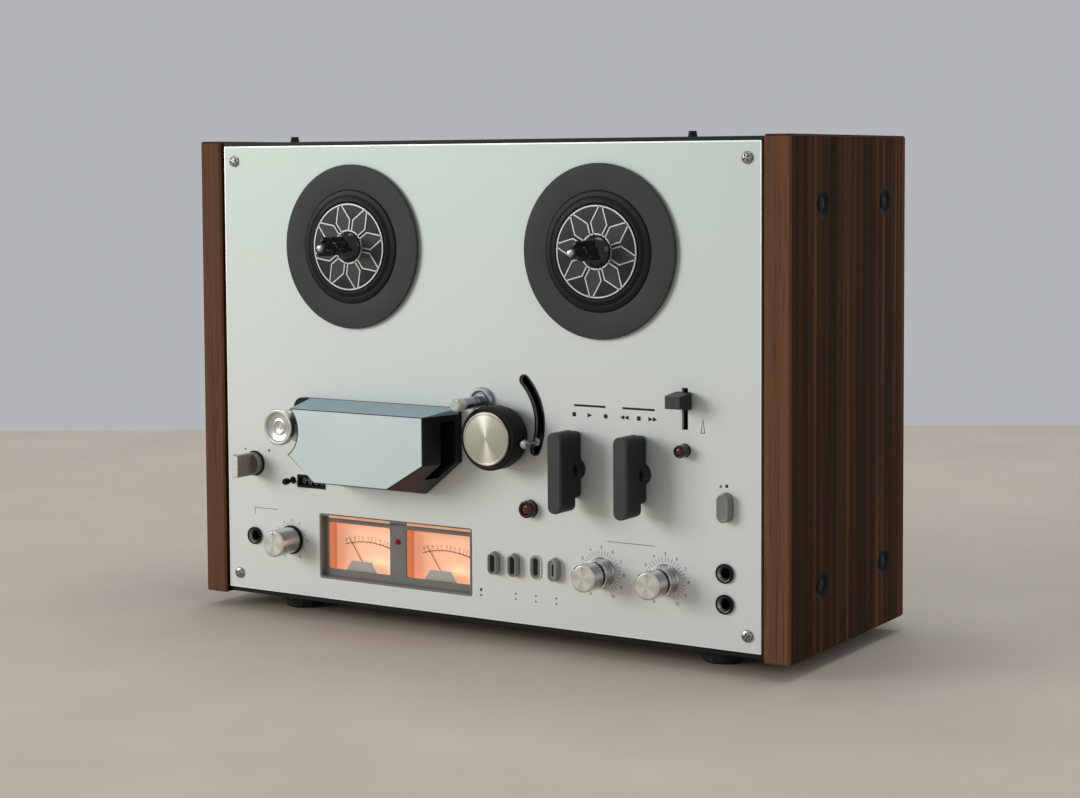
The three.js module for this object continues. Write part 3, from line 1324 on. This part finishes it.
function levelKnob() {
  const back = LEVEL_REAR_HEIGHT + FIT;
  const neck = LEVEL_FRONT_RADIUS - LEVEL_SPLIT;
  const body = turned([
    [0, PLATE_BACK - SHAFT_DEPTH],
    [LEVEL_INNER_SHAFT_RADIUS, PLATE_BACK - SHAFT_DEPTH],
    [LEVEL_INNER_SHAFT_RADIUS, back],
    [neck, back],
    [neck, back + LEVEL_SPLIT],
    [LEVEL_FRONT_RADIUS, back + LEVEL_SPLIT],
    [LEVEL_FRONT_RADIUS, LEVEL_FRONT - KNOB_CHAMFER],
    [LEVEL_FRONT_RADIUS - KNOB_CHAMFER, LEVEL_FRONT],
    [0, LEVEL_FRONT],
  ], MEDIUM);
  return cut(body, pointer(LEVEL_FRONT_RADIUS, LEVEL_FRONT));
}

for (const [name, x] of [['line_level', LINE_LEVEL_X], ['mic_level', MIC_LEVEL_X]]) {
  piece(`${name}_outer`, levelRing(), satinSilver, x, LEVEL_Y);
  piece(`${name}_inner`, levelKnob(), satinSilver, x, LEVEL_Y);
}

// Sockets: a ring nut on the panel and a barrel behind it with a closed end
function socket() {
  const back = -SOCKET_DEPTH;
  return turned([
    [0, back],
    [SOCKET_BARREL_RADIUS, back],
    [SOCKET_BARREL_RADIUS, FIT],
    [SOCKET_RADIUS, FIT],
    [SOCKET_RADIUS, SOCKET_HEIGHT],
    [SOCKET_BORE + SOCKET_BEVEL, SOCKET_HEIGHT],
    [SOCKET_BORE, SOCKET_HEIGHT - SOCKET_BEVEL],
    [SOCKET_BORE, back + SOCKET_FLOOR],
    [0, back + SOCKET_FLOOR],
  ], COARSE);
}

piece('phones_jack', socket(), blackPlastic, PHONES_X, PHONES_Y);
piece('mic_jack_left', socket(), blackPlastic, MIC_SOCKET_X, MIC_SOCKET_HIGH_Y);
piece('mic_jack_right', socket(), blackPlastic, MIC_SOCKET_X, MIC_SOCKET_LOW_Y);

// Level meters: a bezel with two windows, a twin case behind it and a needle behind each window
const windowPlaces = [-WINDOW_SPACING / 2, WINDOW_SPACING / 2];
const bezelBack = -METER_RECESS - METER_FLOOR;
const caseFront = bezelBack - FIT;
const needleY = -WINDOW_HEIGHT / 2 - NEEDLE_DROP;
const dialFace = caseFront - CASE_CAVITY;
const needleBack = dialFace + FIT;
const needleFront = needleBack + 2 * NEEDLE_THICKNESS;

function meterBezel() {
  const width = METER_WIDTH - 2 * FIT;
  const height = METER_HEIGHT - 2 * FIT;
  const body = extruded(rectangle(width, height, METER_ROUNDING), bezelBack, FIT);
  const tray = rectangle(width - 2 * METER_FRAME, height - 2 * METER_FRAME, METER_ROUNDING - METER_FRAME / 2);
  const recess = extruded(tray, -METER_RECESS, OVERRUN);
  const windows = windowPlaces.map((x) => extruded(rectangle(WINDOW_WIDTH, WINDOW_HEIGHT, METER_ROUNDING),
    bezelBack - OVERRUN, OVERRUN, x, 0));
  const lamp = turned([
    [0, bezelBack + METER_FLOOR / 2],
    [LAMP_RADIUS, bezelBack + METER_FLOOR / 2],
    [LAMP_RADIUS, -METER_RECESS],
    [LAMP_RADIUS / 2, LAMP_RADIUS - METER_RECESS],
    [0, LAMP_RADIUS - METER_RECESS],
  ], SMALL, 0, METER_HEIGHT / 6);
  return joined(cut(body, recess, ...windows), lamp);
}

piece('meter_bezel', meterBezel(), blackPlastic, meterX, meterY);

function meterCase() {
  const halfWidth = METER_WIDTH / 2 - CASE_MARGIN;
  const halfHeight = METER_HEIGHT / 2 - CASE_MARGIN;
  const body = block(-halfWidth, halfWidth, -halfHeight, halfHeight, caseFront - CASE_DEPTH, caseFront);
  const dialHeight = WINDOW_HEIGHT + 2 * CASE_MARGIN;
  const dial = rectangle(WINDOW_WIDTH + 2 * CASE_MARGIN, dialHeight, METER_ROUNDING);
  const cavities = windowPlaces.map((x) => extruded(dial, dialFace, caseFront + OVERRUN, x, 0, 1));
  const pins = windowPlaces.map((x) => rod(NEEDLE_PIN_RADIUS + FIT, dialFace - CASE_CAVITY / 2,
    caseFront, SMALL, x, needleY));
  const shield = polygon([
    [-SHIELD_WIDTH / 2, -dialHeight / 2 - CASE_MARGIN / 2],
    [SHIELD_WIDTH / 2, -dialHeight / 2 - CASE_MARGIN / 2],
    [SHIELD_WIDTH / 2, -WINDOW_HEIGHT / 2],
    [SHIELD_WIDTH / 2 - SHIELD_SLOPE, SHIELD_HEIGHT - WINDOW_HEIGHT / 2],
    [SHIELD_SLOPE - SHIELD_WIDTH / 2, SHIELD_HEIGHT - WINDOW_HEIGHT / 2],
    [-SHIELD_WIDTH / 2, -WINDOW_HEIGHT / 2],
  ]);
  const pockets = windowPlaces.map((x) => rod(NEEDLE_HUB_RADIUS + FIT, dialFace,
    caseFront + OVERRUN, SMALL, x, needleY));
  const shieldFront = caseFront - SHIELD_SETBACK;
  const shieldBack = shieldFront - SHIELD_THICKNESS;
  const shields = windowPlaces.map((x) => extruded(shield, shieldBack, shieldFront, x, 0));
  return joined(cut(body, ...cavities, ...pockets, ...pins), ...shields);
}

piece('meter_case', meterCase(), dialPeach, meterX, meterY);

function meterNeedle() {
  const middle = needleBack + NEEDLE_THICKNESS / 2;
  const hub = rod(NEEDLE_HUB_RADIUS, needleBack, needleFront, SMALL);
  const pin = rod(NEEDLE_PIN_RADIUS, dialFace - CASE_CAVITY / 2 + FIT, middle, SMALL);
  const half = NEEDLE_WIDTH / 2;
  const blade = block(-half, half, 0, NEEDLE_LENGTH, middle, middle + NEEDLE_THICKNESS);
  return joined(hub, pin, blade);
}

['meter_needle_left', 'meter_needle_right'].forEach((name, index) => {
  const needle = piece(name, meterNeedle(), blackPlastic, meterX + windowPlaces[index], meterY + needleY);
  needle.rotation.z = degrees(NEEDLE_REST);
});

// Tape counter: a frame through the panel, four number wheels on one shaft and a reset button
const wheelZ = -WHEEL_SETBACK - WHEEL_RADIUS;
const counterBack = wheelZ - counterRoom;

function counterUnit() {
  const half = counterWidth / 2;
  const rise = COUNTER_HEIGHT / 2;
  const room = WHEEL_RADIUS + FIT;
  const front = block(-half, half, -rise, rise, PLATE_BACK, COUNTER_BEZEL_HEIGHT);
  const box = block(-half, half, -counterRoom, counterRoom, counterBack, PLATE_FRONT);
  const inside = new THREE.CylinderGeometry(room, room, counterWidth - 2 * COUNTER_BEZEL, MEDIUM);
  inside.rotateZ(Math.PI / 2).translate(0, 0, wheelZ);
  const window = block(COUNTER_BEZEL - half, half - COUNTER_BEZEL, COUNTER_BEZEL - rise, rise - COUNTER_BEZEL,
    wheelZ, OVERRUN);
  const axle = new THREE.CylinderGeometry(COUNTER_AXLE_RADIUS + FIT, COUNTER_AXLE_RADIUS + FIT,
    counterWidth - COUNTER_BEZEL, SMALL);
  axle.rotateZ(Math.PI / 2).translate(0, 0, wheelZ);
  return cut(joined(front, box), inside, window, axle);
}

piece('counter_unit', counterUnit(), blackPlastic, counterX, counterY);

function counterWheels() {
  const length = WHEEL_PITCH * WHEEL_COUNT - 2 * FIT;
  const groove = WHEEL_RADIUS - WHEEL_GROOVE;
  const tail = (COUNTER_BEZEL - FIT) / 2;
  const half = length / 2;
  const profile = [[0, -half - tail], [COUNTER_AXLE_RADIUS, -half - tail], [COUNTER_AXLE_RADIUS, -half]];
  for (let wheel = 0; wheel < WHEEL_COUNT; wheel += 1) {
    const start = -half + wheel * WHEEL_PITCH;
    const end = Math.min(start + WHEEL_PITCH - WHEEL_GROOVE, half);
    profile.push([WHEEL_RADIUS, start], [WHEEL_RADIUS, end]);
    if (wheel < WHEEL_COUNT - 1) profile.push([groove, end], [groove, start + WHEEL_PITCH]);
  }
  profile.push([COUNTER_AXLE_RADIUS, half], [COUNTER_AXLE_RADIUS, half + tail], [0, half + tail]);
  return turned(profile, COARSE).rotateY(Math.PI / 2);
}

piece('counter_wheels', counterWheels(), blackPlastic, counterX, counterY, wheelZ);

function resetButton() {
  return turned([
    [0, PLATE_BACK - BUTTON_DEPTH],
    [RESET_RADIUS, PLATE_BACK - BUTTON_DEPTH],
    [RESET_RADIUS, RESET_FRONT - KNOB_CHAMFER],
    [RESET_RADIUS - KNOB_CHAMFER, RESET_FRONT],
    [0, RESET_FRONT],
  ], SMALL);
}

piece('counter_reset', resetButton(), buttonGrey, RESET_X, RESET_Y);

// Drive: the motor on its posts, its pulley and the belt round pulley and flywheel
function motor() {
  const back = motorFront - MOTOR_LENGTH;
  const bell = KNOB_CHAMFER * 2;
  const can = turned([
    [0, back],
    [MOTOR_RADIUS - bell, back],
    [MOTOR_RADIUS, back + bell],
    [MOTOR_RADIUS, motorFront - bell],
    [MOTOR_RADIUS - bell, motorFront],
    [0, motorFront],
  ], MEDIUM);
  const bore = rod(PULLEY_SHAFT_RADIUS + FIT, motorFront - PULLEY_SHAFT_LENGTH - FIT,
    motorFront + OVERRUN, SMALL);
  return cut(can, bore);
}

piece('motor', motor(), blackSteel, MOTOR_X, MOTOR_Y);

const beltFront = PLATE_BACK - FLYWHEEL_SETBACK - (FLYWHEEL_THICKNESS - BELT_WIDTH) / 2;

function motorPulley() {
  const front = beltFront + FIT + PULLEY_FLANGE;
  const back = beltFront - BELT_WIDTH - FIT - PULLEY_FLANGE;
  const rim = PULLEY_RADIUS + PULLEY_FLANGE;
  return turned([
    [0, motorFront - PULLEY_SHAFT_LENGTH],
    [PULLEY_SHAFT_RADIUS, motorFront - PULLEY_SHAFT_LENGTH],
    [PULLEY_SHAFT_RADIUS, back],
    [rim, back],
    [rim, back + PULLEY_FLANGE],
    [PULLEY_RADIUS, back + PULLEY_FLANGE],
    [PULLEY_RADIUS, front - PULLEY_FLANGE],
    [rim, front - PULLEY_FLANGE],
    [rim, front],
    [0, front],
  ], COARSE);
}

piece('motor_pulley', motorPulley(), steel, MOTOR_X, MOTOR_Y);

// The belt's outline: two arcs joined by the pulleys' common outer tangents
function beltOutline(offset) {
  const small = PULLEY_RADIUS + offset;
  const large = FLYWHEEL_RADIUS + offset;
  const lean = Math.acos((small - large) / beltSpan);
  const shape = new THREE.Shape();
  shape.absarc(0, 0, small, lean, 2 * Math.PI - lean, false);
  shape.absarc(beltSpan, 0, large, -lean, lean, false);
  return shape;
}

function driveBelt() {
  const outside = extruded(beltOutline(FIT + BELT_THICKNESS), beltFront - BELT_WIDTH, beltFront, 0, 0, BELT_ARC);
  const backLimit = beltFront - BELT_WIDTH - OVERRUN;
  const inside = extruded(beltOutline(FIT), backLimit, beltFront + OVERRUN, 0, 0, BELT_ARC);
  return cut(outside, inside);
}

const belt = piece('drive_belt', driveBelt(), darkRubber, MOTOR_X, MOTOR_Y);
belt.rotation.z = beltAngle;

// Stand the deck on its feet, +Z up, with the origin below the middle of its box
deck.rotation.x = Math.PI / 2;
deck.position.set(0, (SPINDLE_TIP + REAR) / 2, FOOT_HEIGHT);
const assembly = new THREE.Group();
assembly.add(deck);

export default assembly;
